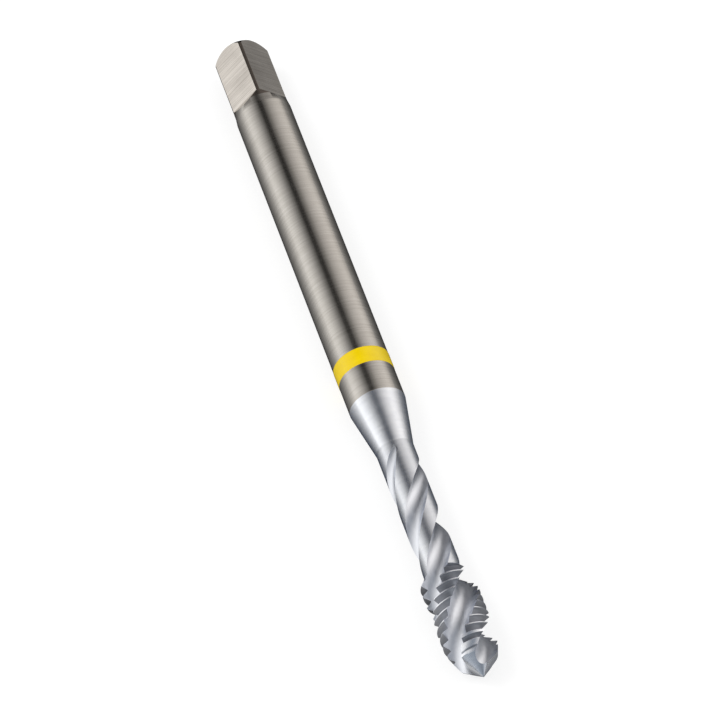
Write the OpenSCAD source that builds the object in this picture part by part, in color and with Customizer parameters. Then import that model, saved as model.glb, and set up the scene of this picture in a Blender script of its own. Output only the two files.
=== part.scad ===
// A spiral-flute machine tap with a square drive, for cutting a small fine thread.
// It lies on its side: the axis runs along X, the point looks to +X, and Z is up.
// All lengths are in millimetres and all angles in degrees.
// Lengths along the tap are counted from the drive end, which is at z = 0 before the tap is laid down.

/* [Whole tap] */
// Length from the drive end to the point
overall_length = 63; // [52:0.5:80]
// Diameter of the ground shank that a chuck holds
shank_d = 4.5; // [4.3:0.05:6]
// Length of the slimmer front, from where the shank starts to taper to the point
front_length = 26.2; // [24:0.1:34]
// Length of the taper between shank and neck
taper_length = 4.4; // [2:0.1:7]
// Diameter of the neck behind the thread
neck_d = 2.98; // [2.6:0.02:3.3]
// Length of plain neck between the taper and the first trace of the flutes
plain_neck_length = 0.6; // [0.4:0.05:2]

/* [Drive square] */
// Width of the square across its flats
square_width = 3.25; // [2.8:0.05:3.4]
// Diameter over the square's turned corners
square_corner_d = 4.34; // [4.2:0.02:4.4]
// Length of the flats up to where they start to run out
square_length = 5.7; // [4:0.1:9]
// Length over which the flats run out into the shank
square_runout = 0.8; // [0.4:0.05:1.5]
// Length of the turned corners up to where they start to widen into the shank
corner_length = 6.2; // [5:0.1:10]
// Length over which the turned corners widen into the shank
corner_runout = 0.7; // [0.4:0.05:1.5]
// How far the rounded edge of the drive end reaches, the same along and across
end_rounding = 0.65; // [0.2:0.05:0.8]
// How far the square's upper corner leans away from straight up
square_turn = 4; // [0:0.2:44]

/* [Colour ring] */
// Distance from the drive end to the lacquer ring
ring_position = 32.6; // [20:0.1:34]
// Width of the lacquer ring along the shank
ring_width = 1.5; // [0.8:0.1:2.4]
// Thickness of the lacquer on the shank
ring_thickness = 0.02; // [0.01:0.01:0.05]

/* [Flutes] */
// Number of flutes
flute_count = 3; // [2:1:4]
// Length in which a flute winds once around the tap
flute_lead = 16.2; // [13:0.1:24]
// Radius of the round groove that the grinding wheel leaves
groove_radius = 1.19; // [0.95:0.01:1.35]
// Diameter of the core that is left between the flutes
core_d = 1.5; // [1.3:0.02:1.9]
// Length over which the grinding wheel rises out of the neck
groove_runout = 10; // [5:0.1:11]
// Direction of the first flute at the point
flute_turn = 62; // [0:1:119]

/* [Thread] */
// Outer diameter of the thread
thread_d = 4.2; // [4:0.02:4.4]
// Distance from one thread crest to the next
thread_pitch = 0.705; // [0.6:0.005:0.8]
// Length of the threaded part, with the lead and the point
thread_length = 9.7; // [8:0.1:12]
// Flank angle between two thread faces
thread_angle = 60; // [55:1:62]
// Length of the bevel on which the thread rises out of the neck
thread_bevel = 0.8; // [0.4:0.05:1.4]
// Distance from the start of the thread to its first crest
crest_offset = 0.17; // [0:0.01:0.6]

/* [Lead and point] */
// Length of the tapered lead, over which the first teeth cut deeper and deeper
lead_length = 1.6; // [1.2:0.02:3]
// Full angle of the centring point
point_angle = 94; // [80:1:110]
// How far a land drops behind its cutting edge on the thread
land_relief = 0.015; // [0:0.005:0.03]
// How far a land drops further behind its cutting edge on the lead
lead_relief = 0.05; // [0:0.005:0.08]

/* [Hidden] */
$fn = 96;

steel_grey = [0.60, 0.58, 0.56];
signal_yellow = [0.95, 0.80, 0.05];

shank_r = shank_d / 2;
neck_r = neck_d / 2;
corner_r = square_corner_d / 2;
ring_r = shank_r + ring_thickness;
core_r = core_d / 2;
thread_r = thread_d / 2;
runout_end = square_length + square_runout;
taper_start = overall_length - front_length;
taper_end = taper_start + taper_length;

// The thread's form follows from its pitch and its flank angle.
// An eighth of the pitch stays flat on the crest, and a tenth at the root.
crest_share = 1 / 8;
root_share = 1 / 10;
crest_flat = thread_pitch * crest_share;
thread_depth = thread_pitch * (1 - crest_share - root_share) / 2 / tan(thread_angle / 2);
root_r = thread_r - thread_depth;

// Stations along the fluted front
groove_start = taper_end + plain_neck_length;
groove_full = groove_start + groove_runout;
thread_start = overall_length - thread_length;
point_start = overall_length - root_r / tan(point_angle / 2);
lead_start = point_start - lead_length;

// The fluted front starts a little inside the neck and a hair under its skin.
// That way the two join cleanly.
join_depth = 0.3;
join_gap = 0.15;
skin = 0.004;
front_r = neck_r - skin;
trace_depth = 0.003;

// The front is a net of lanes that follow the flutes and of rows that follow the thread.
// Each flute and the land behind it share one set of lanes.
flute_lanes = 9;
land_lanes = 8;
lanes = flute_lanes + land_lanes;
lane_count = lanes * flute_count;
neck_rows = 30;
point_rows = 7;

// Along a lane, which winds with the flutes, one thread turn is a little longer than the pitch.
lane_gain = 1 / (1 - thread_pitch / flute_lead);
turn_length = thread_pitch * lane_gain;
crest_zero = (thread_start + crest_offset
  + thread_pitch * (flute_turn / 360 - overall_length / flute_lead)) * lane_gain;
near = 0.005;
first_turn = floor((thread_start - crest_zero) / turn_length) - 2;
turn_count = ceil((point_start - crest_zero) / turn_length) - first_turn + 3;
thread_rows = 4 * turn_count;

function clamped(x, low, high) = min(max(x, low), high);

// How far the grinding wheel stands off its full depth at a station
function wheel_lift(z) = (front_r - core_r - trace_depth)
  * pow(clamped((groove_full - z) / groove_runout, 0, 1), 2);

// Outer radius of the turned blank on the bevel behind the thread, on the lead and on the point
function bevel_r(z) = front_r + (z - thread_start) * (thread_r - front_r) / thread_bevel;
function lead_r(z) = root_r + (point_start - z) * (thread_r - root_r) / lead_length;
function point_r(z) = (overall_length - z) * tan(point_angle / 2);
function blank_r(z) = z <= thread_start ? front_r : min(thread_r, bevel_r(z), lead_r(z), point_r(z));

// Drop of the land behind the cutting edge, where back runs from 0 at the edge to 1 at the heel.
// It grows over the bevel behind the thread and fades out again on the point.
least_r = core_r + trace_depth;
function relief(z, back) = back * clamped((z - thread_start) / thread_bevel, 0, 1)
  * clamped((point_r(z) - least_r) / (root_r - least_r), 0, 1)
  * (land_relief + lead_relief * clamped((z - lead_start) / lead_length, 0, 1));

// Half the angle that a groove opens on a circle of radius r, with the groove's centre at distance c
function half_opening(r, c) = acos((r * r + c * c - groove_radius * groove_radius) / (2 * r * c));
function half_arc(r, c) = acos((c * c + groove_radius * groove_radius - r * r) / (2 * c * groove_radius));

// Direction of a lane at full thread diameter, used only to place the rows along the thread
full_opening = half_opening(thread_r, core_r + groove_radius);
function lane_turn(j) = let (s = floor(j / lanes), k = j - s * lanes, sector = 360 / flute_count)
  s * sector + (k <= flute_lanes
    ? full_opening * (2 * k / flute_lanes - 1)
    : full_opening + (sector - 2 * full_opening) * (k - flute_lanes) / land_lanes);

// One point of the net: lane j at station z, on a blank of radius r
function net_point(j, z, r) =
  let (s = floor(j / lanes), k = j - s * lanes, sector = 360 / flute_count)
  let (back = k <= flute_lanes ? k / flute_lanes : 1 - (k - flute_lanes) / land_lanes)
  let (rr = r - relief(z, back), c = core_r + groove_radius + wheel_lift(z))
  let (open = half_opening(rr, c), arc = half_arc(rr, c) * (2 * k / flute_lanes - 1))
  let (gx = c - groove_radius * cos(arc), gy = groove_radius * sin(arc))
  let (on_land = k > flute_lanes)
  let (turn = on_land ? open + (sector - 2 * open) * (k - flute_lanes) / land_lanes : atan2(gy, gx))
  let (reach = on_land ? rr : norm([gx, gy]))
  let (a = turn + s * sector + flute_turn + 360 * (z - overall_length) / flute_lead)
  [reach * cos(a), reach * sin(a), z];

// Stations of the flat rows on the neck, close together where the grooves start
function neck_z(i) = i == 0
  ? groove_start - join_gap - join_depth
  : groove_start + (thread_start - groove_start) * pow((i - 1) / (neck_rows - 2), 1.5);

// The first row is inside the neck and has the same lanes as the trace of the grooves.
function neck_point(i, j) = let (p = net_point(j, max(neck_z(i), groove_start), front_r))
  i > 0 ? p : [p[0], p[1], neck_z(0)];

// Each thread turn has four rows: the two edges of the crest and the two edges of the root.
// Where the blank is slimmer than the thread, the crest is cut off lower down and is wider.
function half_crest(r) = crest_flat / 2 + clamped(thread_r - r, 0, thread_depth) * tan(thread_angle / 2);
function thread_z(i, j) =
  let (turn = floor(i / 4), edge = i - 4 * turn)
  let (crest = crest_zero + turn_length * (first_turn + turn + lane_turn(j) / 360))
  let (wide = half_crest(blank_r(crest)) * lane_gain, root = turn_length * (1 - root_share) / 2)
  crest + (edge == 0 ? -wide : edge == 1 ? wide : edge == 2 ? root : turn_length - root);
function thread_point(i, j) = let (z = clamped(thread_z(i, j), thread_start, point_start))
  net_point(j, z, i % 4 < 2 ? blank_r(z) : min(root_r, blank_r(z)));

// Stations of the flat rows on the point, up to where the grooves end on the core
function point_row_r(i) = least_r + (root_r - least_r) * pow(1 - i / point_rows, 2);
function point_row_z(i) = overall_length - point_row_r(i) / tan(point_angle / 2);
function cone_point(i, j) = net_point(j, point_row_z(i), point_row_r(i));

net_points = concat(
  [for (i = [0:neck_rows - 1], j = [0:lane_count - 1]) neck_point(i, j)],
  [for (i = [0:thread_rows - 1], j = [0:lane_count - 1]) thread_point(i, j)],
  [for (i = [0:point_rows], j = [0:lane_count - 1]) cone_point(i, j)],
  [[0, 0, neck_z(0)], [0, 0, overall_length]]);

thread_base = neck_rows * lane_count;
point_base = thread_base + thread_rows * lane_count;
cap_point = point_base + (point_rows + 1) * lane_count;

// A thread row that reaches past the flat row at either end uses that row's point instead.
function thread_index(i, j) = let (z = thread_z(i, j))
  z <= thread_start + near ? thread_base - lane_count + j
  : z >= point_start - near ? point_base + j
  : thread_base + i * lane_count + j;

// Past the last lane, a thread row goes on as the row one turn further up.
function thread_corner(i, j) = j < lane_count ? thread_index(i, j) : thread_index(i + 4, 0);
function flat_corner(base, i, j) = base + i * lane_count + j % lane_count;

// Two triangles for a four-cornered patch, without those that have shrunk to a line
function pair(a, b, c, d) = [for (t = [[a, b, c], [a, c, d]])
  if (t[0] != t[1] && t[1] != t[2] && t[2] != t[0]) t];
function flat_faces(base, rows) = [for (i = [0:rows - 2], j = [0:lane_count - 1])
  each pair(flat_corner(base, i, j), flat_corner(base, i + 1, j),
    flat_corner(base, i + 1, j + 1), flat_corner(base, i, j + 1))];
function thread_faces() = [for (i = [0:thread_rows - 6], j = [0:lane_count - 1])
  each pair(thread_corner(i, j), thread_corner(i + 1, j),
    thread_corner(i + 1, j + 1), thread_corner(i, j + 1))];
function cap_faces(centre, base, up) = [for (j = [0:lane_count - 1])
  let (a = base + j, b = base + (j + 1) % lane_count)
  up ? [centre, b, a] : [centre, a, b]];

// The front with its flutes, thread, lead and point
module fluted_front() {
  polyhedron(
    points = net_points,
    faces = concat(
      cap_faces(cap_point, 0, false),
      flat_faces(0, neck_rows),
      thread_faces(),
      flat_faces(point_base, point_rows + 1),
      cap_faces(cap_point + 1, point_base + point_rows * lane_count, true)));
}

// The turned and ground blank up to the neck
module blank() {
  rotate_extrude()
    polygon([
      [0, 0],
      [corner_r, 0],
      [corner_r, corner_length],
      [shank_r, corner_length + corner_runout],
      [shank_r, taper_start],
      [neck_r, taper_end],
      [neck_r, groove_start - join_gap],
      [0, groove_start - join_gap]]);
}

// What rounding the drive end takes off: all that stands outside a ball centred on the axis.
// The ball passes through both ends of the rounding when its centre is one corner radius up.
module end_cut() {
  margin = 1;
  difference() {
    translate([0, 0, -margin])
      cylinder(h = end_rounding + margin, r = shank_d);
    translate([0, 0, corner_r])
      sphere(r = norm([corner_r, corner_r - end_rounding]));
  }
}

// What the grinding wheel takes off one flat of the square, with its slanting run-out
module flat_cut() {
  margin = 1;
  rise = (shank_r - square_width / 2) / square_runout;
  reach = square_width / 2 + (square_runout + margin) * rise;
  rotate([90, 0, 0])
    linear_extrude(height = 2 * shank_d, center = true)
      polygon([
        [square_width / 2, -margin],
        [square_width / 2, square_length],
        [reach, runout_end + margin],
        [reach, -margin]]);
}

module lay_down() {
  translate([-overall_length / 2, 0, ring_r])
    rotate([0, 90, 0])
      children();
}

module tap() {
  color(steel_grey)
    lay_down() {
      difference() {
        blank();
        end_cut();
        for (k = [0:3])
          rotate([0, 0, 45 + square_turn + 90 * k])
            flat_cut();
      }
      fluted_front();
    }
}

module colour_ring() {
  color(signal_yellow)
    lay_down()
      translate([0, 0, ring_position])
        difference() {
          cylinder(h = ring_width, r = ring_r);
          translate([0, 0, -1])
            cylinder(h = ring_width + 2, r = shank_r);
        }
}

tap();
colour_ring();
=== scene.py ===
# %% [markdown]
# # A small spiral-flute machine tap
#
# A machine tap cuts a screw thread into a drilled hole. It is one bar of high-speed steel: a square that
# keeps it from turning in its chuck, a ground round shank, a yellow colour ring, a slim neck, and a front
# with three spiral flutes, a thread, a tapered lead and a centring point. It lies on a white table and is
# seen from above through a long lens.
#
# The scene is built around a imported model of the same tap, which is loaded first and never changed. All
# of the new pieces stand in the same frame: the axis runs along X, the point looks to +X, and Z is up.

# %% Load the fixed frame
import math

import bmesh
import bpy
from mathutils import Matrix, Vector


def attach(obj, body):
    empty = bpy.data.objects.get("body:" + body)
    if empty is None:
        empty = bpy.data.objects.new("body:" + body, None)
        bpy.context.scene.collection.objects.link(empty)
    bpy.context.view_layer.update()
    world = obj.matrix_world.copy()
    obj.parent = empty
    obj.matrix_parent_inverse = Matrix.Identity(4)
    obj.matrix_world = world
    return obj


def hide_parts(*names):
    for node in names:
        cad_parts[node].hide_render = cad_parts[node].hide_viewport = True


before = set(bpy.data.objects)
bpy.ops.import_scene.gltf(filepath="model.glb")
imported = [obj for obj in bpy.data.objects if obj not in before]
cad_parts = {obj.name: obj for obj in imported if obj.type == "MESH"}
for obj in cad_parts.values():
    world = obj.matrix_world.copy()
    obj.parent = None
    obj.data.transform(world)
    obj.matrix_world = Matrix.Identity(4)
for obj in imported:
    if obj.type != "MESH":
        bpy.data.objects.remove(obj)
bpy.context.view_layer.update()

# %% [markdown]
# ## Sizes
#
# A maker's drawing gives a tap's sizes in millimetres, counted along the axis from the drive end. The
# same is done here, and one function places such a point in the frame. The sizes are those of the packed
# model, because the pieces that are made below take the place of its solids.

# %% Sizes along the tap, in millimetres
MM = 0.001
overall_length = 63.0
shank_radius = 2.25
ring_radius = 2.27
neck_radius = 1.49
taper_start = 36.8
taper_end = 41.2
flute_start = 41.8
thread_start = 53.3


def in_frame(x, y, along):
    """The place in the frame, in metres, of a point that is given across and along the tap."""
    return Vector(((along - overall_length / 2) * MM, y * MM, (ring_radius - x) * MM))


print("the axis lies", ring_radius, "mm above the table")

# %% [markdown]
# ## Small helpers
#
# Node trees are built by one function that adds a node, sets its properties and fills its input sockets
# with values or links. The spiral front and the light tent need long sums, so a number class lets a sum be
# written as plain arithmetic: each operator adds the Math node that works it out.

# %% Helpers for node trees and objects
def add_node(tree, kind, sockets=None, **settings):
    """Add a node to a tree, set its properties, and fill its sockets with values or links."""
    node = tree.nodes.new(kind)
    for name, value in settings.items():
        setattr(node, name, value)
    for name, value in (sockets or {}).items():
        if isinstance(value, bpy.types.NodeSocket):
            tree.links.new(value, node.inputs[name])
        else:
            node.inputs[name].default_value = value
    return node


class Number:
    """A number inside a node tree, which plain arithmetic can work on."""

    def __init__(self, tree, socket):
        self.tree = tree
        self.socket = socket

    def put(self, operation, *values):
        """Add a Math node that works on the given values, of which this number may be one."""
        sockets = {i: v.socket if isinstance(v, Number) else v for i, v in enumerate(values)}
        node = add_node(self.tree, "ShaderNodeMath", sockets, operation=operation)
        return Number(self.tree, node.outputs[0])

    def __add__(self, other):
        return self.put("ADD", self, other)

    def __sub__(self, other):
        return self.put("SUBTRACT", self, other)

    def __rsub__(self, other):
        return self.put("SUBTRACT", other, self)

    def __mul__(self, other):
        return self.put("MULTIPLY", self, other)

    def __truediv__(self, other):
        return self.put("DIVIDE", self, other)

    def __rtruediv__(self, other):
        return self.put("DIVIDE", other, self)

    def __pow__(self, other):
        return self.put("POWER", self, other)

    def __lt__(self, other):
        return self.put("LESS_THAN", self, other)

    def __gt__(self, other):
        return self.put("GREATER_THAN", self, other)

    __radd__ = __add__
    __rmul__ = __mul__

    def __abs__(self):
        return self.put("ABSOLUTE", self)

    def floor(self):
        return self.put("FLOOR", self)

    def least(self, other):
        return self.put("MINIMUM", self, other)

    def most(self, other):
        return self.put("MAXIMUM", self, other)

    def cos(self):
        return self.put("COSINE", self)

    def sin(self):
        return self.put("SINE", self)

    def arccos(self):
        return self.put("ARCCOSINE", self)

    def arctan(self, across):
        return self.put("ARCTAN2", self, across)

    def either(self, yes, no):
        """The value yes where this number is 1, and no where it is 0."""
        return self * yes + (1 - self) * no


def new_object(name, data):
    """A new object at the origin for a mesh, a camera or a lamp."""
    thing = bpy.data.objects.new(name, data)
    bpy.context.scene.collection.objects.link(thing)
    return thing


print("helpers are ready")

# %% [markdown]
# ## Colours from a chart
#
# Colours are picked as they look on a screen and written as hex values. Blender works with light, so one
# function turns them into linear values. Its numbers are those of the sRGB standard.

# %% Colours
def linear(hex_colour):
    """An RGBA colour in linear light from an sRGB hex value."""
    parts = [int(hex_colour[i:i + 2], 16) / 255 for i in (1, 3, 5)]
    return tuple(p / 12.92 if p <= 0.04045 else ((p + 0.055) / 1.055) ** 2.4 for p in parts) + (1.0,)


def start_material(name):
    """A new material with its empty tree."""
    material = bpy.data.materials.new(name)
    material.use_nodes = True
    material.node_tree.nodes.clear()
    return material


print("white in linear light:", linear("#FFFFFF")[:3])

# %% [markdown]
# ## Cylindrically ground high-speed steel
#
# The shank turns against a fine grinding wheel, which leaves hair lines that run around it, a few
# hundredths of a millimetre apart. They are too fine for the picture, so they are drawn 0.16 mm wide,
# several times coarser. Steel is a metal: all of its look is what it mirrors. The hair lines blur the
# mirror image along the shank, and the hardened steel has a faint brown tone.
#
# All steels of the tap come from one function, because they differ only in their tones, lines, gloss and
# haze. Two noises vary the tone and the gloss: lines, which are stretched one way, and broad clouds. Where
# fine scratches scatter some light, a little bluish sheen adds an even haze.

# %% Shank steel, with sizes in millimetres
CLOUDS = (2.5, 2.5, 2.5)
CLOUD_SHARE = 0.3
TONE_STOPS = (0.32, 0.68)
GLOSS_STOPS = (0.3, 0.7)
GLOSS_SPREAD = (0.9, 1.15)
GRAIN_ROUGHNESS = 0.6
HAZE_COLOUR = "#80B4FF"


def stretched_noise(tree, coordinates, spacing, detail=2.0, turn=(0.0, 0.0, 0.0)):
    """A noise whose grain has the given size in millimetres along x, y and z."""
    grains = tuple(1 / (s * MM) for s in spacing)
    placed = add_node(tree, "ShaderNodeMapping", {
        "Vector": coordinates, "Rotation": turn, "Scale": grains}, vector_type="POINT")
    return add_node(tree, "ShaderNodeTexNoise", {
        "Vector": placed.outputs[0], "Scale": 1.0, "Detail": detail, "Roughness": GRAIN_ROUGHNESS})


def ground_steel(name, light, dark, spacing, roughness, line_depth, turn=(0.0, 0.0, 0.0), haze=0.0):
    """A ground steel whose lines vary between two tones, with their size and depth in millimetres."""
    material = start_material(name)
    tree = material.node_tree
    coordinates = add_node(tree, "ShaderNodeTexCoord").outputs["Object"]
    lines = stretched_noise(tree, coordinates, spacing, 3.0, turn)
    clouds = stretched_noise(tree, coordinates, CLOUDS)
    both = add_node(tree, "ShaderNodeMix", {
        "Factor": CLOUD_SHARE, "A": lines.outputs["Fac"], "B": clouds.outputs["Fac"]},
        data_type="FLOAT")
    tone = add_node(tree, "ShaderNodeValToRGB", {"Fac": both.outputs["Result"]})
    for stop, position, colour in zip(tone.color_ramp.elements, TONE_STOPS, (dark, light)):
        stop.position = position
        stop.color = linear(colour)
    gloss = add_node(tree, "ShaderNodeMapRange", {
        "Value": both.outputs["Result"], "From Min": GLOSS_STOPS[0], "From Max": GLOSS_STOPS[1],
        "To Min": roughness * GLOSS_SPREAD[0], "To Max": roughness * GLOSS_SPREAD[1]})
    relief_node = add_node(tree, "ShaderNodeBump", {
        "Height": lines.outputs["Fac"], "Strength": 1.0, "Distance": line_depth * MM})
    shader = add_node(tree, "ShaderNodeBsdfPrincipled", {
        "Base Color": tone.outputs["Color"], "Metallic": 1.0, "Roughness": gloss.outputs["Result"],
        "Sheen Weight": haze, "Sheen Roughness": 1.0, "Sheen Tint": linear(HAZE_COLOUR),
        "Normal": relief_node.outputs["Normal"]})
    add_node(tree, "ShaderNodeOutputMaterial", {"Surface": shader.outputs["BSDF"]})
    return material


shank_steel = ground_steel(
    "cylindrically_ground_steel", light="#D7D2CB", dark="#C5C0B8",
    spacing=(0.16, 5.0, 5.0), roughness=0.17, line_depth=0.0012)
print("material:", shank_steel.name)

# %% [markdown]
# ## Surface-ground flats
#
# The wheel passes straight across each flat of the square and leaves straight marks about half a tenth
# of a millimetre apart, which run square to the axis. They are drawn at about their real spacing, and
# light and dark tones further apart than the shank's make them show.

# %% Steel of the flats
# A turn comes after the stretch, so it slants nothing and only picks other lines than the shank's.
OTHER_LINES = math.radians(9)
flat_steel = ground_steel(
    "surface_ground_steel", light="#E9E2D9", dark="#B3ACA4",
    spacing=(0.055, 5.0, 5.0), roughness=0.12, line_depth=0.0004, turn=(0.0, 0.0, OTHER_LINES))
print("material:", flat_steel.name)

# %% [markdown]
# ## Turned corners of the square
#
# The four corners between the flats are never ground. They keep the skin that turning and hardening
# left on them, which is darker and browner than ground steel and hardly shines. Part of its dark tone here
# is painted shade: it also stands for the dark line that each corner mirrors. It is a steel of its own
# here, and further down each face of the bar gets its steel by its place.

# %% Steel of the corners
# The dark tones are partly the turned skin's own colour and partly painted shade.
corner_skin_and_painted_shade = ground_steel(
    "turned_skin_and_painted_shade", light="#A0958B", dark="#897F76",
    spacing=(0.16, 5.0, 5.0), roughness=0.24, line_depth=0.0012)
print("material:", corner_skin_and_painted_shade.name)

# %% [markdown]
# ## Bright ground and polished front
#
# The taper, the neck and the cutting end are ground once more and polished after hardening, so they
# are brighter and cooler than the shank. The polishing brush rounds the scratches and leaves a fine haze:
# a softer mirror image than the shank's, with a faint bluish glow on top.

# %% Front steel
front_steel = ground_steel(
    "polished_steel", light="#F1F2F3", dark="#E5E6E9",
    spacing=(0.3, 1.2, 1.2), roughness=0.24, line_depth=0.0003, haze=0.08)
print("material:", front_steel.name)

# %% [markdown]
# ## Wheel-ground flutes
#
# The flutes are ground from the full bar in one pass. The wheel's marks are coarser than the polish of
# the lands, so they spread the mirror image widely: a flute shows one soft bright stripe and no sharp
# picture of the studio. They are drawn as grains a millimetre long, coarse enough to show.

# %% Flute steel
flute_steel = ground_steel(
    "flute_ground_steel", light="#EFF0F3", dark="#E0E2E6",
    spacing=(1.0, 0.3, 0.3), roughness=0.37, line_depth=0.0004, haze=0.06)
print("material:", flute_steel.name)

# %% [markdown]
# ## Form-ground thread flanks
#
# The thread is ground last, by a wheel with a pointed profile. Its coarse marks stay on the flanks, which
# look a dull grey between the bright crests, because light is lost where it bounces between two flanks.
# The base colour is darker for that, and it leans a little to blue.

# %% Thread steel
thread_steel = ground_steel(
    "form_ground_steel", light="#C5C6C9", dark="#B1B2B6",
    spacing=(0.15, 0.8, 0.8), roughness=0.36, line_depth=0.0004, haze=0.04)
print("material:", thread_steel.name)

# %% [markdown]
# ## The spiral front
#
# On the real tap a round-nosed grinding wheel cuts three flutes that wind around the bar, and a second
# wheel with a pointed edge cuts the thread between them. The front could be carved with Booleans from a
# screw and three swept cutters, but such cuts leave thin and uneven faces that shade badly.
#
# Its shape follows a rule, so Geometry Nodes make it from one flat grid instead. The columns of the grid
# are lanes that wind with the flutes: some lie on the wall of a groove, the others on the land behind it.
# The rows follow the thread's own helix, so that the edges of each crest and root are true edges of the
# mesh. Each grid point is moved to its place by a sum that holds for the whole front.

# %% Sizes of the flutes and the thread
FLUTES = 3
GROOVE_LANES = 24
LAND_LANES = 18
FACE_LANES = 3
NECK_ROWS = 84
POINT_ROWS = 22
TIP_ROWS = 8
LANES = GROOVE_LANES + LAND_LANES
LANE_COUNT = FLUTES * LANES

front_sizes = {
    "Length": overall_length,
    "Neck Radius": neck_radius,
    "Flute Start": flute_start,
    "Flute Run-out": 10.0,
    "Flute Lead": 16.2,
    "Flute Turn": math.radians(62),
    "Groove Radius": 1.19,
    "Core Radius": 0.75,
    "Trace Depth": 0.003,
    "Thread Start": thread_start,
    "Thread Radius": 2.1,
    "Thread Bevel": 0.8,
    "Lead Length": 1.6,
    "Point Slope": math.tan(math.radians(47)),
    "Flank Slope": math.tan(math.radians(30)),
    "Land Relief": 0.015,
    "Lead Relief": 0.05,
}
# The turns of the thread set the rows of the grid, so what they depend on is worked out here and not in
# the tree. Spare turns at both ends of the thread are folded flat there and welded.
pitch = 0.705
crest_offset = 0.17
crest_share = 1 / 8
root_share = 1 / 10
ROWS_PER_TURN = 4
SPARE_BEFORE = 2
SPARE_AFTER = 3
thread_depth = pitch * (1 - crest_share - root_share) / 2 / front_sizes["Flank Slope"]
root_radius = front_sizes["Thread Radius"] - thread_depth
point_start = overall_length - root_radius / front_sizes["Point Slope"]
lane_gain = 1 / (1 - pitch / front_sizes["Flute Lead"])
turn_length = pitch * lane_gain
first_crest = (thread_start + crest_offset + pitch * (
    front_sizes["Flute Turn"] / math.tau - overall_length / front_sizes["Flute Lead"])) * lane_gain
first_turn = math.floor((thread_start - first_crest) / turn_length) - SPARE_BEFORE
turn_count = math.ceil((point_start - first_crest) / turn_length) - first_turn + SPARE_AFTER
THREAD_ROWS = ROWS_PER_TURN * turn_count
ROW_COUNT = NECK_ROWS + THREAD_ROWS + POINT_ROWS + TIP_ROWS
print("thread depth", round(thread_depth, 3), "mm; rows", ROW_COUNT, "lanes", LANE_COUNT)

# %% Start the node tree with its named sizes
front_tree = bpy.data.node_groups.new("spiral_front", "GeometryNodeTree")
front_tree.interface.new_socket("Geometry", in_out="OUTPUT", socket_type="NodeSocketGeometry")
for size_name in front_sizes:
    front_tree.interface.new_socket(size_name, in_out="INPUT", socket_type="NodeSocketFloat")
for part_name in ("Land Material", "Flute Material"):
    front_tree.interface.new_socket(part_name, in_out="INPUT", socket_type="NodeSocketMaterial")
size_node = add_node(front_tree, "NodeGroupInput")


def size(name):
    """One of the tree's named sizes as a number."""
    return Number(front_tree, size_node.outputs[name])


grid = add_node(front_tree, "GeometryNodeMeshGrid", {
    "Size X": float(LANE_COUNT), "Size Y": float(ROW_COUNT - 1),
    "Vertices X": LANE_COUNT + 1, "Vertices Y": ROW_COUNT})
place = add_node(front_tree, "ShaderNodeSeparateXYZ", {
    0: add_node(front_tree, "GeometryNodeInputPosition").outputs[0]})
# Half a step keeps a comparison of whole numbers clear of rounding.
HALF = 0.5
lane = (Number(front_tree, place.outputs["X"]) + (LANE_COUNT / 2 + HALF)).floor()
row = (Number(front_tree, place.outputs["Y"]) + ((ROW_COUNT - 1) / 2 + HALF)).floor()
print("the tree has", len(front_sizes), "sizes")

# %% Where a lane lies around the tap
sector = math.tau / FLUTES
flute = ((lane + HALF) / LANES).floor()
step = lane - flute * LANES
on_land = step > GROOVE_LANES + HALF
across_groove = step * (2 / GROOVE_LANES) - 1
across_land = (step - GROOVE_LANES) / LAND_LANES

full_radius = size("Core Radius") + size("Groove Radius")


def opening(radius, centre):
    """Half the angle that a groove opens on a circle around the tap."""
    return ((radius * radius + centre * centre - size("Groove Radius") * size("Groove Radius"))
            / (radius * centre * 2)).arccos()


def wall_arc(radius, centre):
    """The same half opening, but as an angle on the groove's own circle."""
    return ((centre * centre + size("Groove Radius") * size("Groove Radius") - radius * radius)
            / (size("Groove Radius") * centre * 2)).arccos()


thread_opening = opening(size("Thread Radius"), full_radius)
lane_turn = flute * sector + on_land.either(
    thread_opening + (sector - thread_opening * 2) * across_land, thread_opening * across_groove)
print("lanes follow", FLUTES, "flutes")

# %% How thick the turned bar is at each place along it
TINY = 1e-4


def limited(value, low=0.0, high=1.0):
    """The value, held between two limits."""
    return value.most(low).least(high)


def bar_radius(along):
    """Radius of the bar: neck, bevel behind the thread, full thread, tapered lead and point."""
    bevel = size("Neck Radius") + (along - size("Thread Start")) * (
        size("Thread Radius") - size("Neck Radius")) / size("Thread Bevel")
    lead = root_radius + (point_start - along) * (
        size("Thread Radius") - root_radius) / size("Lead Length")
    point = (size("Length") - along) * size("Point Slope")
    threaded = size("Thread Radius").least(bevel).least(lead).least(point)
    return (along > size("Thread Start") + TINY).either(threaded, size("Neck Radius"))


in_thread = (row > NECK_ROWS - HALF) * (row < NECK_ROWS + THREAD_ROWS - HALF)
in_point = row > NECK_ROWS + THREAD_ROWS - HALF
in_first = row < HALF
print("root of the thread:", round(root_radius, 3), "mm from the axis")

# %% Rows of the thread: both edges of each crest, then both edges of the root
thread_row = row - NECK_ROWS
turn = ((thread_row + HALF) / ROWS_PER_TURN).floor()
edge = thread_row - turn * ROWS_PER_TURN
crest_centre = (turn + first_turn + lane_turn / math.tau) * turn_length + first_crest
cut_off = limited(size("Thread Radius") - bar_radius(crest_centre), 0.0, thread_depth)
half_crest = (cut_off * size("Flank Slope") + pitch * crest_share / 2) * lane_gain
half_root = turn_length * (1 - root_share) / 2
edge_shift = (edge < HALF).either(
    half_crest * -1, (edge < 1 + HALF).either(
        half_crest, (edge < 2 + HALF).either(half_root, turn_length - half_root)))
thread_along = (crest_centre + edge_shift).most(size("Thread Start")).least(point_start)
thread_bar = bar_radius(thread_along)
thread_radius = (edge < 1 + HALF).either(thread_bar, thread_bar.least(root_radius))
print("turns of the thread, with the spare ones:", turn_count)

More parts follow.
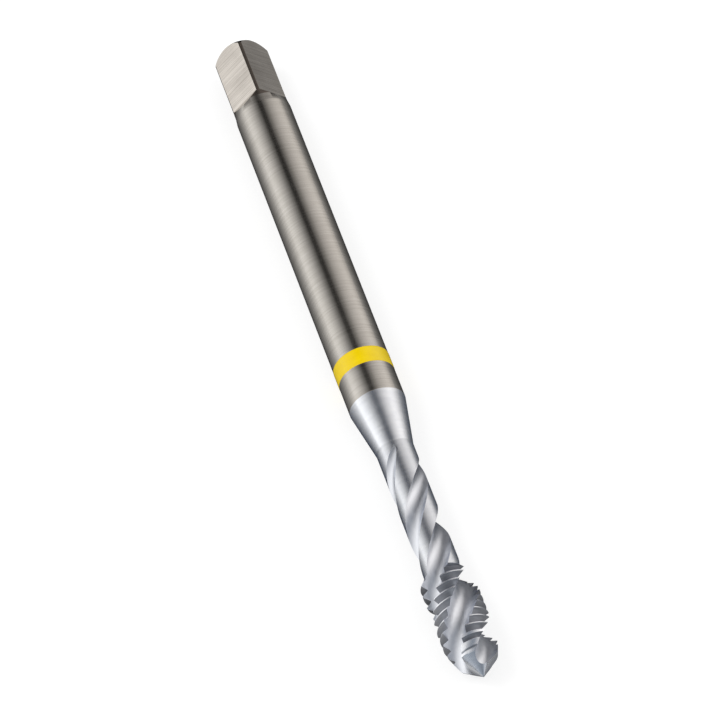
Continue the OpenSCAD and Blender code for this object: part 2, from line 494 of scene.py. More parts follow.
# %% Rows of the neck and of the point
NECK_CROWDING = 1.5
neck_share = limited((row - 1) / (NECK_ROWS - 2))
neck_along = size("Flute Start") + (
    size("Thread Start") - size("Flute Start")) * neck_share ** NECK_CROWDING
least_radius = size("Core Radius") + size("Trace Depth")
point_share = limited((row - (NECK_ROWS + THREAD_ROWS)) / (POINT_ROWS - 1))
tip_share = limited((row - (NECK_ROWS + THREAD_ROWS + POINT_ROWS - 1)) / TIP_ROWS)
point_radius = (least_radius + (root_radius - least_radius) * (1 - point_share) ** 2) * (1 - tip_share)
point_along = size("Length") - point_radius / size("Point Slope")

along = in_point.either(point_along, in_thread.either(thread_along, neck_along))
bar = in_point.either(point_radius, in_thread.either(thread_radius, size("Neck Radius")))
print("rows:", NECK_ROWS, "neck,", THREAD_ROWS, "thread,", POINT_ROWS + TIP_ROWS, "point")

# %% The place of every grid point on the wall of a groove or on a land
lift = (size("Neck Radius") - least_radius) * limited(
    (size("Flute Start") + size("Flute Run-out") - along) / size("Flute Run-out")) ** 2
centre = full_radius + lift
behind_edge = on_land.either(1 - across_land, step / GROOVE_LANES)
fading = limited(((size("Length") - along) * size("Point Slope") - least_radius)
                 / (root_radius - least_radius))
relief = behind_edge * fading * limited((along - size("Thread Start")) / size("Thread Bevel")) * (
    size("Land Relief") + size("Lead Relief") * limited(
        (along - (point_start - size("Lead Length"))) / size("Lead Length")))
radius = bar - relief
arc_to_edge = wall_arc(radius, centre)
arc_to_root = wall_arc(radius.least(root_radius - relief), centre)

# The outer lanes of a groove span the cutting face of a tooth, and fold together between two teeth.
inner = 1 - 2 * FACE_LANES / GROOVE_LANES
outward = limited((abs(across_groove) - inner) / (1 - inner))
side = (across_groove > 0).either(1.0, -1.0)
arc = (limited(across_groove / inner, -1.0, 1.0) * arc_to_root
       + side * outward * (arc_to_edge - arc_to_root))
wall_x = centre - size("Groove Radius") * arc.cos()
wall_y = size("Groove Radius") * arc.sin()
wall_reach = (wall_x * wall_x + wall_y * wall_y) ** 0.5
land_half = opening(radius, centre)
land_turn = land_half + (sector - land_half * 2) * across_land
reach = in_first.either(radius, on_land.either(radius, wall_reach.least(radius)))
around = (on_land.either(land_turn, wall_y.arctan(wall_x)) + flute * sector + size("Flute Turn")
          + (along - size("Length")) / size("Flute Lead") * math.tau)
FIRST_ROW_BACK = 0.15
station = along - in_first * FIRST_ROW_BACK

spot = add_node(front_tree, "ShaderNodeCombineXYZ", {
    "X": ((station - overall_length / 2) * MM).socket,
    "Y": (reach * around.sin() * MM).socket,
    "Z": ((ring_radius - reach * around.cos()) * MM).socket})
print("the tree has", len(front_tree.nodes), "nodes")

# %% Close the tree
WELD = 1.5e-4 * MM
# A face belongs to a flute if its middle lies between two groove lanes of the flat grid.
face_lane = Number(front_tree, place.outputs["X"]) + LANE_COUNT / 2
face_step = face_lane - (face_lane / LANES).floor() * LANES
marked = add_node(front_tree, "GeometryNodeCaptureAttribute", {
    "Geometry": grid.outputs["Mesh"]}, domain="FACE")
marked.capture_items.new("FLOAT", "in_flute")
front_tree.links.new((face_step < GROOVE_LANES).socket, marked.inputs["in_flute"])
in_flute = add_node(front_tree, "FunctionNodeCompare", {
    "A": marked.outputs["in_flute"], "B": HALF}, data_type="FLOAT", operation="GREATER_THAN")
moved = add_node(front_tree, "GeometryNodeSetPosition", {
    "Geometry": marked.outputs["Geometry"], "Position": spot.outputs[0]})
welded = add_node(front_tree, "GeometryNodeMergeByDistance", {
    "Geometry": moved.outputs[0], "Distance": WELD})
real = add_node(front_tree, "GeometryNodeRealizeInstances", {"Geometry": welded.outputs[0]})
lands = add_node(front_tree, "GeometryNodeSetMaterial", {
    "Geometry": real.outputs[0], "Material": size_node.outputs["Land Material"]})
flutes = add_node(front_tree, "GeometryNodeSetMaterial", {
    "Geometry": lands.outputs[0], "Selection": in_flute.outputs[0],
    "Material": size_node.outputs["Flute Material"]})
add_node(front_tree, "NodeGroupOutput", {"Geometry": flutes.outputs[0]})
print("points closer than", round(WELD / MM, 5), "mm become one")

# %% Run the tree and keep its mesh
def finished_mesh(thing, name):
    """The mesh of an object with its modifiers carried out."""
    bpy.context.view_layer.update()
    graph = bpy.context.evaluated_depsgraph_get()
    mesh = bpy.data.meshes.new_from_object(thing.evaluated_get(graph))
    mesh.name = name
    return mesh


front_maker = new_object("front_maker", bpy.data.meshes.new("front_maker"))
modifier = front_maker.modifiers.new("spiral_front", "NODES")
modifier.node_group = front_tree
front_inputs = dict(front_sizes, **{"Land Material": front_steel, "Flute Material": flute_steel})
for item in front_tree.interface.items_tree:
    if item.in_out == "INPUT":
        modifier[item.identifier] = front_inputs[item.name]
front_mesh = finished_mesh(front_maker, "spiral_front")
bpy.data.objects.remove(front_maker)
print("spiral front:", len(front_mesh.vertices), "points,", len(front_mesh.polygons), "faces,",
      "materials", [m.name if m else None for m in front_mesh.materials])

# %% [markdown]
# ## The shank and its square
#
# The shank is turned, hardened and ground round. Its end is then ground to a square, and the wheel's
# edge leaves a short slanting run-out in front of each flat. A lathe shape is simplest in mesh code: a
# profile is swept around the axis in rings. The four flats are cut with a Boolean, which leaves the same
# curved edges as the wheel does, and a narrow bevel takes off the burr, so that the edges catch light.

# %% Profile of the turned bar, from the drive end to the neck
square_width = 3.25
corner_radius = 2.17
square_length = 5.7
square_runout = 0.8
corner_length = 6.2
corner_runout = 0.7
end_rounding = 0.65
square_turn = math.radians(4)
SEGMENTS = 144
EDGE_WIDTH = 0.06
JOIN_GAP = 0.15
CUT_MARGIN = 1.0
SHANK_MIDDLE = 20.0
join_station = flute_start - FIRST_ROW_BACK - JOIN_GAP

# The end is part of a ball, drawn at these shares of its length.
rounding_shares = (0, 0.16, 0.32, 0.5, 0.68, 0.84, 1)
ball_radius = math.hypot(corner_radius, corner_radius - end_rounding)
rounding = [(math.sqrt(ball_radius ** 2 - (corner_radius - z) ** 2), z)
            for z in (end_rounding * share for share in rounding_shares)]
runout_end = square_length + square_runout
corner_end = corner_length + corner_runout
profile = rounding + [
    (corner_radius, corner_length), (shank_radius, corner_end),
    (shank_radius, corner_end + EDGE_WIDTH), (shank_radius, SHANK_MIDDLE),
    (shank_radius, taper_start - EDGE_WIDTH), (shank_radius, taper_start)]
taper_slope = (shank_radius - neck_radius) / (taper_end - taper_start)
profile += [
    (shank_radius - taper_slope * EDGE_WIDTH, taper_start + EDGE_WIDTH),
    (neck_radius + taper_slope * EDGE_WIDTH, taper_end - EDGE_WIDTH),
    (neck_radius, taper_end), (neck_radius, taper_end + EDGE_WIDTH),
    (neck_radius, join_station), (neck_radius, flute_start + CUT_MARGIN)]


def turned_mesh(name, outline, closed_ring=False):
    """A mesh turned from pairs of radius and station, capped at both ends or closed in a ring."""
    made = bmesh.new()
    rings = []
    for r, z in outline:
        angles = [math.tau * i / SEGMENTS for i in range(SEGMENTS)]
        rings.append([made.verts.new(in_frame(r * math.cos(a), r * math.sin(a), z)) for a in angles])
    pairs = list(zip(rings, rings[1:]))
    if closed_ring:
        pairs.append((rings[-1], rings[0]))
    else:
        made.faces.new(rings[0])
        made.faces.new(rings[-1])
    for first, second in pairs:
        for i in range(SEGMENTS):
            j = (i + 1) % SEGMENTS
            made.faces.new((first[i], first[j], second[j], second[i]))
    bmesh.ops.recalc_face_normals(made, faces=made.faces)
    mesh = bpy.data.meshes.new(name)
    made.to_mesh(mesh)
    made.free()
    return mesh


blank = new_object("blank", turned_mesh("blank", profile))
print("blank:", len(blank.data.polygons), "faces")

# %% Grind the four flats and break the edges
WHEEL_MARGIN = 1.0
FLATS = 4
BROKEN_EDGE = 0.065
EDGE_ANGLE = math.radians(24)
run_slope = (shank_radius - square_width / 2) / square_runout
wheel_reach = square_width / 2 + (square_runout + WHEEL_MARGIN) * run_slope
wheel_outline = [
    (square_width / 2, -WHEEL_MARGIN), (square_width / 2, square_length),
    (wheel_reach, runout_end + WHEEL_MARGIN), (wheel_reach, -WHEEL_MARGIN)]
flat_turns = [square_turn + math.tau * (k + HALF) / FLATS for k in range(FLATS)]

wheel = bmesh.new()
for flat_turn in flat_turns:
    sides = []
    for y in (-2 * shank_radius, 2 * shank_radius):
        sides.append([wheel.verts.new(in_frame(
            x * math.cos(flat_turn) - y * math.sin(flat_turn),
            x * math.sin(flat_turn) + y * math.cos(flat_turn), z)) for x, z in wheel_outline])
    for i in range(len(wheel_outline)):
        j = (i + 1) % len(wheel_outline)
        wheel.faces.new((sides[0][i], sides[0][j], sides[1][j], sides[1][i]))
    wheel.faces.new(sides[0])
    wheel.faces.new(sides[1])
bmesh.ops.recalc_face_normals(wheel, faces=wheel.faces)
wheel_mesh = bpy.data.meshes.new("wheel")
wheel.to_mesh(wheel_mesh)
wheel.free()
wheel_cuts = new_object("wheel_cuts", wheel_mesh)

cut = blank.modifiers.new("flats", "BOOLEAN")
cut.operation = "DIFFERENCE"
cut.solver = "EXACT"
cut.use_self = True
cut.object = wheel_cuts
broken = blank.modifiers.new("broken_edges", "BEVEL")
broken.width = BROKEN_EDGE * MM
broken.segments = 2
broken.limit_method = "ANGLE"
broken.angle_limit = EDGE_ANGLE
shank_mesh = finished_mesh(blank, "shank")
bpy.data.objects.remove(blank)
bpy.data.objects.remove(wheel_cuts)
print("shank with its square:", len(shank_mesh.polygons), "faces")

# %% [markdown]
# ## One bar of steel
#
# On the real tap nothing is joined: shank and front are the same bar. The two meshes therefore become
# one. The shank is cut off square where the front begins, and the two open rims, which have different
# numbers of points, are stitched by walking around both at once.

# %% Stitch the front to the shank
steel = bmesh.new()
steel.from_mesh(shank_mesh)
join_x = in_frame(0, 0, join_station).x
bmesh.ops.bisect_plane(
    steel, geom=steel.verts[:] + steel.edges[:] + steel.faces[:],
    plane_co=(join_x, 0, 0), plane_no=(1, 0, 0), dist=WELD, clear_outer=True)
shank_rim = {edge.verts[i] for edge in steel.edges if edge.is_boundary for i in (0, 1)}

# The front's own two slots are numbered anew by the list of all steels of the bar.
bar_steels = (shank_steel, flat_steel, front_steel, flute_steel, thread_steel, corner_skin_and_painted_shade)
flute_slot = list(front_mesh.materials).index(flute_steel)
flute_faces = [polygon.material_index == flute_slot for polygon in front_mesh.polygons]
front_mesh.polygons.foreach_set(
    "material_index", [bar_steels.index(flute_steel if f else front_steel) for f in flute_faces])
steel.from_mesh(front_mesh)
open_points = {edge.verts[i] for edge in steel.edges if edge.is_boundary for i in (0, 1)}
front_rim = open_points - shank_rim
print("open rims:", len(shank_rim), "and", len(front_rim), "points")


def turn_of(point):
    """Angle of a point around the axis of the tap."""
    return math.atan2(point.co.y, ring_radius * MM - point.co.z)


def stitch(made, first_rim, second_rim):
    """Close the gap between two round rims with triangles, always taking the nearer next point."""
    first, second = sorted(first_rim, key=turn_of), sorted(second_rim, key=turn_of)
    i = j = 0
    while i < len(first) or j < len(second):
        next_i = turn_of(first[(i + 1) % len(first)]) + math.tau * ((i + 1) // len(first))
        next_j = turn_of(second[(j + 1) % len(second)]) + math.tau * ((j + 1) // len(second))
        a, b = first[i % len(first)], second[j % len(second)]
        if j >= len(second) or (i < len(first) and next_i <= next_j):
            made.faces.new((a, first[(i + 1) % len(first)], b))
            i += 1
        else:
            made.faces.new((a, second[(j + 1) % len(second)], b))
            j += 1


stitch(steel, shank_rim, front_rim)
bmesh.ops.dissolve_degenerate(steel, dist=WELD, edges=steel.edges)
bmesh.ops.recalc_face_normals(steel, faces=steel.faces)
open_edges = sum(1 for edge in steel.edges if not edge.is_manifold)
print("steel bar:", len(steel.faces), "faces,", open_edges, "open edges")

# %% Give each face of the bar its steel
FLANK_LEAN = 0.5
END_LEAN = -0.5
FLAT_ENOUGH = math.cos(math.radians(2))
flat_normals = [(in_frame(math.cos(a), math.sin(a), 0) - in_frame(0, 0, 0)).normalized()
                for a in flat_turns]
ramp_tilt = math.atan(run_slope)
ground_normals = flat_normals + [
    n * math.cos(ramp_tilt) - Vector((math.sin(ramp_tilt), 0, 0)) for n in flat_normals]
corner_x, square_x, front_x, thread_x, point_x = (
    in_frame(0, 0, station).x
    for station in (corner_length, runout_end, taper_start, thread_start, point_start))


def steel_of(face):
    """The steel that a face of the bar shows, told from where it lies and which way it looks."""
    middle = face.calc_center_median()
    if bar_steels[face.material_index] == flute_steel:
        return flute_steel
    if thread_x < middle.x < point_x and abs(face.normal.x) > FLANK_LEAN:
        return thread_steel
    if middle.x > front_x:
        return front_steel
    if middle.x < square_x and max(face.normal.dot(n) for n in ground_normals) > FLAT_ENOUGH:
        return flat_steel
    # Corner faces get the darker steel, which is partly painted shade.
    if middle.x < corner_x and face.normal.x > END_LEAN:
        return corner_skin_and_painted_shade
    return shank_steel


for face in steel.faces:
    face.material_index = bar_steels.index(steel_of(face))
print({made.name: sum(1 for face in steel.faces if bar_steels[face.material_index] == made)
       for made in bar_steels})

# %% Make the bar a mesh and mark its sharp edges
SHARP = math.radians(28)
steel_mesh = bpy.data.meshes.new("tap_steel")
steel.to_mesh(steel_mesh)
steel.free()
for material in bar_steels:
    steel_mesh.materials.append(material)
steel_mesh.set_sharp_from_angle(angle=SHARP)
# A ground flat is truly flat, so its shading must not lean toward the small bevels around it.
for polygon in steel_mesh.polygons:
    polygon.use_smooth = bar_steels[polygon.material_index] != flat_steel
tap_steel = new_object("tap_steel", steel_mesh)
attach(tap_steel, "root")
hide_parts("tap")
steel_mesh.calc_loop_triangles()
print("tap:", len(steel_mesh.loop_triangles), "triangles")

# %% [markdown]
# ## The colour ring
#
# A band of yellow lacquer around the shank tells the machinist which material the tap is for. It is
# rolled on while the tap turns, so it stands a hair proud of the steel and its edges are rounded. A small
# outline turned around the axis gives that edge, which a painted stripe in the steel's material wouldn't.

# %% Turn the ring
RING_SINK = 0.01
ring_position = 32.6
ring_width = 1.5
ring_foot = shank_radius - RING_SINK
# How high the lacquer stands, as a share of its thickness, at these distances from its edge
ring_edge = [(0.0, 0.0), (0.03, 0.55), (0.07, 0.85), (0.12, 1.0)]
thickness = ring_radius - shank_radius
ring_outline = [(ring_foot, ring_position)]
ring_outline += [(shank_radius + h * thickness, ring_position + d) for d, h in ring_edge]
ring_outline += [(shank_radius + h * thickness, ring_position + ring_width - d)
                 for d, h in reversed(ring_edge)]
ring_outline += [(ring_foot, ring_position + ring_width)]
ring_mesh = turned_mesh("ring_lacquer", ring_outline, closed_ring=True)
ring_mesh.shade_smooth()
lacquer_ring = new_object("lacquer_ring", ring_mesh)
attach(lacquer_ring, "root")
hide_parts("colour_ring")
print("ring:", len(ring_mesh.polygons), "faces")

# %% [markdown]
# ## Yellow lacquer
#
# A thin nitro lacquer: a strong yellow pigment in a clear glossy film. The pigment is the base colour,
# the film is the plastic-like shine on top of it. A faint noise makes the coat a little uneven.

# %% Lacquer material, with sizes in millimetres
PIGMENT_STOPS = (0.3, 0.7)
PIGMENT_TONES = ("#E8C704", "#EECF06")
LACQUER_WAVES = (0.4, 0.9, 0.9)
WAVE_DEPTH = 0.004
lacquer = start_material("yellow_lacquer")
tree = lacquer.node_tree
coordinates = add_node(tree, "ShaderNodeTexCoord").outputs["Object"]
uneven = stretched_noise(tree, coordinates, LACQUER_WAVES)
pigment = add_node(tree, "ShaderNodeValToRGB", {"Fac": uneven.outputs["Fac"]})
for stop, position, colour in zip(pigment.color_ramp.elements, PIGMENT_STOPS, PIGMENT_TONES):
    stop.position = position
    stop.color = linear(colour)
waves = add_node(tree, "ShaderNodeBump", {
    "Height": uneven.outputs["Fac"], "Strength": 1.0, "Distance": WAVE_DEPTH * MM})
shader = add_node(tree, "ShaderNodeBsdfPrincipled", {
    "Base Color": pigment.outputs["Color"], "Metallic": 0.0, "Roughness": 0.12, "IOR": 1.5,
    "Normal": waves.outputs["Normal"]})
add_node(tree, "ShaderNodeOutputMaterial", {"Surface": shader.outputs["BSDF"]})
ring_mesh.materials.append(lacquer)
print("material:", lacquer.name)

# %% [markdown]
# ## The camera
#
# The picture is taken through a long lens from about half a metre, from the point's side and from
# above. The long lens keeps the far end of the tap nearly as large as the near end. The camera stands a
# little beside the line to its aim, which sets where the tap lies in the picture.

# %% Camera
VIEW_AZIMUTH = math.radians(72.643)
VIEW_HEIGHT = math.radians(52.877)
AIM_STATION = 34.47
DISTANCE = 484.21
SHIFT_LEFT = 0.657
SHIFT_UP = 1.7673
toward = Vector((math.sin(VIEW_AZIMUTH) * math.cos(VIEW_HEIGHT),
                 -math.cos(VIEW_AZIMUTH) * math.cos(VIEW_HEIGHT), math.sin(VIEW_HEIGHT)))
right = Vector((math.cos(VIEW_AZIMUTH), math.sin(VIEW_AZIMUTH), 0))
upward = toward.cross(right)
lens_data = bpy.data.cameras.new("camera")
lens_data.sensor_width = 36.0
lens_data.lens = 316.005
lens_data.clip_start = 0.05
camera = new_object("camera", lens_data)
camera.location = in_frame(0, 0, AIM_STATION) + (
    toward * DISTANCE - right * SHIFT_LEFT + upward * SHIFT_UP) * MM
camera.rotation_mode = "QUATERNION"
camera.rotation_quaternion = Matrix((right, upward, toward)).transposed().to_quaternion()
bpy.context.scene.camera = camera
print("camera at", [round(v, 4) for v in camera.location])

# %% [markdown]
# ## White background and table
#
# Bright metal shows its surroundings and nothing else, so the studio is what makes it look like steel.
# The background and the table have to look plain white, but as light they would wash out the shadow under
# the tap. The light path tells the two apart: rays that look at them see white, and rays that gather light
# see a weaker fill. The table stays partly matt, so that it keeps the tap's shadow.

# %% World: a white background for everything that looks at it
scene = bpy.context.scene
scene.view_settings.view_transform = "Standard"
world = bpy.data.worlds.new("studio")
world.use_nodes = True
world.node_tree.nodes.clear()
scene.world = world


def seen_directly(tree):
    """1 for rays of the camera, of mirror images and of clear materials, and 0 for the light itself."""
    path = add_node(tree, "ShaderNodeLightPath")
    camera_ray = Number(tree, path.outputs["Is Camera Ray"])
    mirror_ray = Number(tree, path.outputs["Is Glossy Ray"])
    clear_ray = Number(tree, path.outputs["Is Transmission Ray"])
    return camera_ray.most(mirror_ray).most(clear_ray)


FILL_LEVEL = 0.62
level = seen_directly(world.node_tree).either(1.0, FILL_LEVEL)
sky = add_node(world.node_tree, "ShaderNodeBackground", {
    "Color": linear("#FFFFFF"), "Strength": level.socket})
add_node(world.node_tree, "ShaderNodeOutputWorld", {"Surface": sky.outputs[0]})
print("background strength 1 where it is seen,", FILL_LEVEL, "as fill light")

# %% Table
TABLE_SIZE = 1.5
GLOW_SHARE = 0.55
GLOW_LEVEL = 1.30
table_material = start_material("white_table")
tree = table_material.node_tree
matt = add_node(tree, "ShaderNodeBsdfDiffuse", {"Color": linear("#E6E6E6")})
glow = add_node(tree, "ShaderNodeEmission", {"Color": linear("#FFFFFF"), "Strength": GLOW_LEVEL})
together = add_node(tree, "ShaderNodeMixShader", {
    0: (seen_directly(tree) * GLOW_SHARE).socket, 1: matt.outputs[0], 2: glow.outputs[0]})
add_node(tree, "ShaderNodeOutputMaterial", {"Surface": together.outputs[0]})


def staged(name, points, material):
    """A plain sheet of the studio with four corners and one material."""
    mesh = bpy.data.meshes.new(name)
    mesh.from_pydata(points, [], [(0, 1, 2, 3)])
    mesh.materials.append(material)
    sheet = new_object(name, mesh)
    return sheet


corners = [(-TABLE_SIZE, -TABLE_SIZE), (TABLE_SIZE, -TABLE_SIZE),
           (TABLE_SIZE, TABLE_SIZE), (-TABLE_SIZE, TABLE_SIZE)]
staged("table", [(x, y, 0) for x, y in corners], table_material)
print("table:", 2 * TABLE_SIZE, "m wide")

# %% [markdown]
# ## The light tent
#
# A photographer puts a bright tap in a tent of white cloth. The slot for the lens stays dark and draws
# the narrow dark line along the shank. On both sides of it the cloth grows brighter downward and fades
# again toward the table. The tent is a large sphere here, and only mirror images see it, so it doesn't
# light the table.
#
# The brightness of the cloth is worked out from its direction as three parts: along the tap, to its left,
# and up. Each change over the cloth is a fade that starts at one direction and is full at another. A
# picture of a tent could do the same, but fades are easy to read and to change.

# %% Directions in the tent
TENT_RADIUS = 0.9
SLOT_LEAN = math.radians(8.3)
tent_up = Vector((0, -math.sin(SLOT_LEAN), math.cos(SLOT_LEAN)))
tent_left = Vector((0, -math.cos(SLOT_LEAN), -math.sin(SLOT_LEAN)))


def direction_part(tree, direction, axis):
    """How far a direction points along an axis, from -1 to 1."""
    dot = add_node(tree, "ShaderNodeVectorMath", {0: direction, 1: axis}, operation="DOT_PRODUCT")
    return Number(tree, dot.outputs["Value"])


def fade(value, start, full):
    """0 up to where a change starts, 1 from where it is full, and an even rise in between."""
    return limited((value - start) / (full - start))


tent_material = start_material("tent_cloth")
tree = tent_material.node_tree
place_on_tent = add_node(tree, "ShaderNodeTexCoord").outputs["Object"]
unit = add_node(tree, "ShaderNodeVectorMath", {0: place_on_tent}, operation="NORMALIZE").outputs[0]
up_part = direction_part(tree, unit, tent_up)
left_part = direction_part(tree, unit, tent_left)
end_part = direction_part(tree, unit, (1.0, 0.0, 0.0))
on_right = fade(left_part, 0, -0.3)
print("the slot leans", round(math.degrees(SLOT_LEAN), 1), "degrees")

# %% The slot for the lens, and how many degrees each direction lies from it
HALF_TURN = 180
SWING_AHEAD = 0.36
SHIFT_MIDDLE = 0.06
SHIFT_DRIVE = 0.04
STRETCH_RIGHT = 0.10

ahead = fade(end_part, -0.20, 0.40)
near_middle = fade(end_part, -0.58, -0.48) * fade(end_part, -0.05, -0.20)
near_drive = fade(end_part, -0.62, -0.70)
slot_to_right = ahead * SWING_AHEAD - near_middle * SHIFT_MIDDLE - near_drive * SHIFT_DRIVE
beside_slot = abs(left_part + slot_to_right)
stretch = 1 + on_right * fade(end_part, -0.55, -0.35) * STRETCH_RIGHT
from_slot = beside_slot.arctan(up_part) * (HALF_TURN / math.pi) * stretch

# How bright the cloth is at each of these degrees from the slot, from its dark middle down to the table
tent_stops = [(0, 0.02), (7, 0.02), (10, 0.10), (21, 0.26), (33, 0.50), (45, 0.71), (57, 0.90),
              (67, 1.0), (77, 1.0), (87, 0.84), (99, 0.59), (111, 0.40), (125, 0.22), (180, 0.12)]
cloth = add_node(tree, "ShaderNodeValToRGB", {"Fac": (from_slot / HALF_TURN).socket})
ramp = cloth.color_ramp
while len(ramp.elements) < len(tent_stops):
    ramp.elements.new(1.0)
for stop, (degrees, value) in zip(ramp.elements, tent_stops):
    stop.position = degrees / HALF_TURN
    stop.color = (value, value, value, 1.0)
print("cloth:", len(tent_stops), "stops of brightness")

# %% Places where the cloth is lighter or darker than its stops say
over_middle = fade(end_part, -0.60, -0.30)
low_left = fade(left_part, 0, 0.3) * fade(from_slot, 70, 100) * fade(end_part, -0.56, -0.41)
front_right = on_right * fade(end_part, -0.30, 0)
far_right = fade(left_part, -0.4, -0.7) * fade(end_part, -0.10, -0.35)
drive_right = fade(left_part, -0.15, -0.45) * fade(end_part, -0.64, -0.76)
changes = [(over_middle, 0.30), (low_left, 0.30), (front_right, 0.08),
           (far_right, -0.16), (drive_right, -0.55)]
panel = 1
for where, share in changes:
    panel = panel * (1 + where * share)
print("cloth:", len(changes), "uneven places")

# %% Grey cloth that closes both ends, and the little light that comes in through the slot
# How bright each of them is, and by how much its sides, its middle or its right differ
LIT_SLOT = 0.29
SLOT_LEAK = 0.26
POINT_GREY = 0.28
POINT_SIDES = 0.16
POINT_MIDDLE = 0.14
DRIVE_GREY = 0.24
DRIVE_SIDES = 0.6
DRIVE_RIGHT = 0.85

to_point = fade(end_part, 0.42, 0.84)
to_drive = fade(end_part, -0.64, -0.82)
lit_slot = fade(end_part, -0.20, 0) * fade(from_slot, 40, 0) * LIT_SLOT
slot_leak = (fade(end_part, -0.54, -0.48) * fade(end_part, -0.30, -0.36)
             * fade(from_slot, 50, 0) * SLOT_LEAK)
point_cloth = (POINT_GREY + fade(from_slot, 0, 70) * POINT_SIDES
               - fade(end_part, 0.84, 0.94) * POINT_MIDDLE)
drive_cloth = (1 - DRIVE_SIDES + fade(from_slot, 0, 30) * DRIVE_SIDES) * (
    1 - fade(left_part, -0.15, -0.50) * DRIVE_RIGHT) * DRIVE_GREY
grey_end = lit_slot * (1 - to_point) + to_point * point_cloth + to_drive * drive_cloth + slot_leak
open_part = 1 - to_point - to_drive
print("the ends glow at", POINT_GREY, "and", DRIVE_GREY)

# %% The tent's cloth and its sphere
WARM, NEUTRAL, COOL = "#FFFCFA", "#FFFFFF", "#E4F0FF"


def mirror_only(thing):
    """Let only mirror images see an object: it casts no shadow and lights nothing else."""
    thing.visible_camera = False
    thing.visible_diffuse = False
    thing.visible_transmission = False
    thing.visible_volume_scatter = False
    thing.visible_shadow = False


tint = add_node(tree, "ShaderNodeMix", {
    "Factor": fade(left_part, -0.25, 0.25).socket, "A": linear(WARM), "B": linear(NEUTRAL)},
    data_type="RGBA")
cloth_tone = add_node(tree, "ShaderNodeVectorMath", {
    0: cloth.outputs["Color"], 1: tint.outputs["Result"]}, operation="MULTIPLY")
side_glow = add_node(tree, "ShaderNodeEmission", {
    "Color": cloth_tone.outputs[0], "Strength": (panel * open_part).socket})
end_tint = add_node(tree, "ShaderNodeMix", {
    "Factor": fade(end_part, -0.30, -0.10).socket, "A": linear(WARM), "B": linear(COOL)},
    data_type="RGBA")
end_glow = add_node(tree, "ShaderNodeEmission", {
    "Color": end_tint.outputs["Result"], "Strength": grey_end.socket})
whole_glow = add_node(tree, "ShaderNodeAddShader", {0: side_glow.outputs[0], 1: end_glow.outputs[0]})
add_node(tree, "ShaderNodeOutputMaterial", {"Surface": whole_glow.outputs[0]})

tent = bmesh.new()
bmesh.ops.create_icosphere(tent, subdivisions=5, radius=TENT_RADIUS)
tent_mesh = bpy.data.meshes.new("light_tent")
tent.to_mesh(tent_mesh)
tent.free()
tent_mesh.materials.append(tent_material)
light_tent = new_object("light_tent", tent_mesh)
mirror_only(light_tent)
print("tent radius:", TENT_RADIUS, "m")

# %% [markdown]
# ## Black card and a grey flag
#
# Without them the tap would melt into the white table. Black card beside it gives the steel its dark
# outlines: the card is black right beside the tap and fades to grey a little further out, more on the
# left than on the right. A small grey flag to the right of the square keeps that side of it from shining.
# Both serve the mirror images only, like the tent, so the camera sees a plain white table.

# %% Black card on the table, with sizes in millimetres
CARD_HEIGHT = 0.1
TAP_SIDE = 2
TAP_END = 31
FADE_LEFT, FADE_RIGHT = 8.0, 14.0
LIGHT_LEFT, LIGHT_RIGHT = 0.81, 0.34
LIGHT_POINT = 0.18
SHADE_FRONT = 0.85


def place_parts(tree, axes):
    """Where a point of a sheet lies along each of the axes, in millimetres."""
    parts = add_node(tree, "ShaderNodeSeparateXYZ", {
        0: add_node(tree, "ShaderNodeTexCoord").outputs["Object"]})
    return [Number(tree, parts.outputs[axis]) / MM for axis in axes]


card_material = start_material("black_card")
tree = card_material.node_tree
card_along, across = place_parts(tree, "XY")
on_left = across < 0
gap = (abs(across) - TAP_SIDE).most(card_along - TAP_END)
fall = (0 - gap / on_left.either(FADE_LEFT, FADE_RIGHT)).least(0.0)
near_point = fade(card_along, 20, 28) * LIGHT_POINT
in_front = fade(card_along, 38, 46) * SHADE_FRONT
side_light = (1 - fall.put("EXPONENT", fall)) * on_left.either(LIGHT_LEFT, LIGHT_RIGHT)
card_light = (side_light + near_point) * (1 - in_front)
card_glow = add_node(tree, "ShaderNodeEmission", {
    "Color": linear("#FFFFFF"), "Strength": card_light.socket})
add_node(tree, "ShaderNodeOutputMaterial", {"Surface": card_glow.outputs[0]})
black_card = staged("black_card", [(x, y, CARD_HEIGHT * MM) for x, y in corners], card_material)
mirror_only(black_card)
print("card", CARD_HEIGHT, "mm above the table")

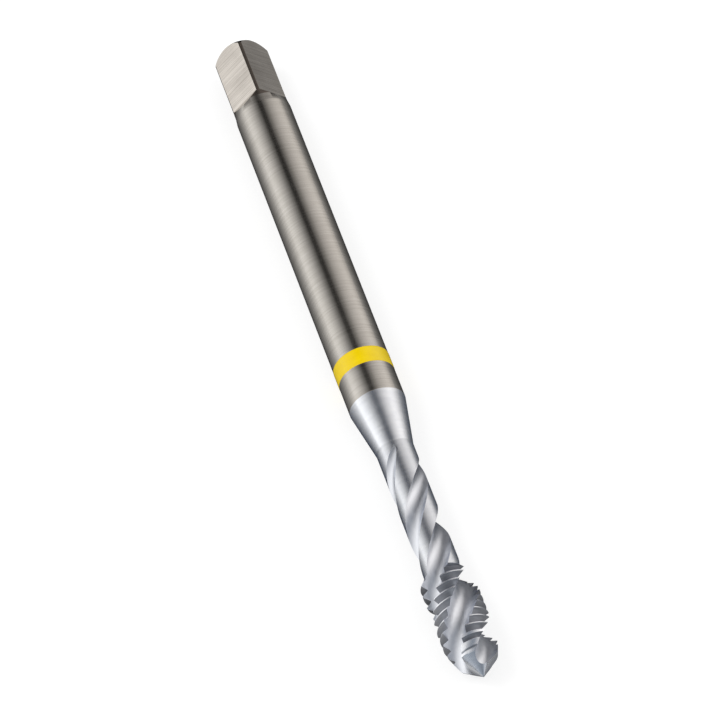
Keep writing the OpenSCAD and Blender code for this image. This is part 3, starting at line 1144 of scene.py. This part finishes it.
# %% A grey flag beside the square, with soft edges and sizes in millimetres
FLAG_GLOW = 0.24
FLAG_ASIDE = 40
FLAG_FOOT, FLAG_TOP, SOFT_TOP = 0.2, 12, 8
FLAG_START, FLAG_END, SOFT_END = -75, -48, 10
flag_material = start_material("grey_flag")
tree = flag_material.node_tree
flag_glow = add_node(tree, "ShaderNodeEmission", {
    "Color": linear("#FFFFFF"), "Strength": FLAG_GLOW})
flag_along, flag_high = place_parts(tree, "XZ")
thick = fade(flag_high, FLAG_TOP, FLAG_TOP - SOFT_TOP) * fade(flag_along, FLAG_END, FLAG_END - SOFT_END)
flag_clear = add_node(tree, "ShaderNodeBsdfTransparent")
flag_cloth = add_node(tree, "ShaderNodeMixShader", {
    0: thick.socket, 1: flag_clear.outputs[0], 2: flag_glow.outputs[0]})
add_node(tree, "ShaderNodeOutputMaterial", {"Surface": flag_cloth.outputs[0]})
flag_sides = [(FLAG_START, FLAG_FOOT), (FLAG_END, FLAG_FOOT),
              (FLAG_END, FLAG_TOP), (FLAG_START, FLAG_TOP)]
grey_flag = staged(
    "grey_flag", [(x * MM, FLAG_ASIDE * MM, z * MM) for x, z in flag_sides], flag_material)
mirror_only(grey_flag)
print("flag glow:", FLAG_GLOW)

# %% [markdown]
# ## Lamps
#
# The lacquer and the matt table are lit by lamps, as in any studio. Two large soft ones stand left and
# right of the tap, so the shadow under it stays faint. They are kept out of the mirror images, where the
# tent already shows the light.

# %% Soft lamps for the lacquer and the table
LAMP_WIDTH = 0.5


def soft_lamp(name, place, power):
    """A square soft lamp that looks at the tap and shows in no mirror image."""
    data = bpy.data.lights.new(name, "AREA")
    data.size = LAMP_WIDTH
    data.energy = power
    lamp = new_object(name, data)
    lamp.location = place
    lamp.rotation_euler = (-Vector(place)).to_track_quat("-Z", "Y").to_euler()
    lamp.visible_glossy = False
    return lamp


lamps = [soft_lamp("lamp_left", place=(-0.1, -0.5, 0.6), power=2.8),
         soft_lamp("lamp_right", place=(0.1, 0.5, 0.6), power=1.4)]
print("lamps:", [(lamp.name, round(lamp.data.energy, 1)) for lamp in lamps])
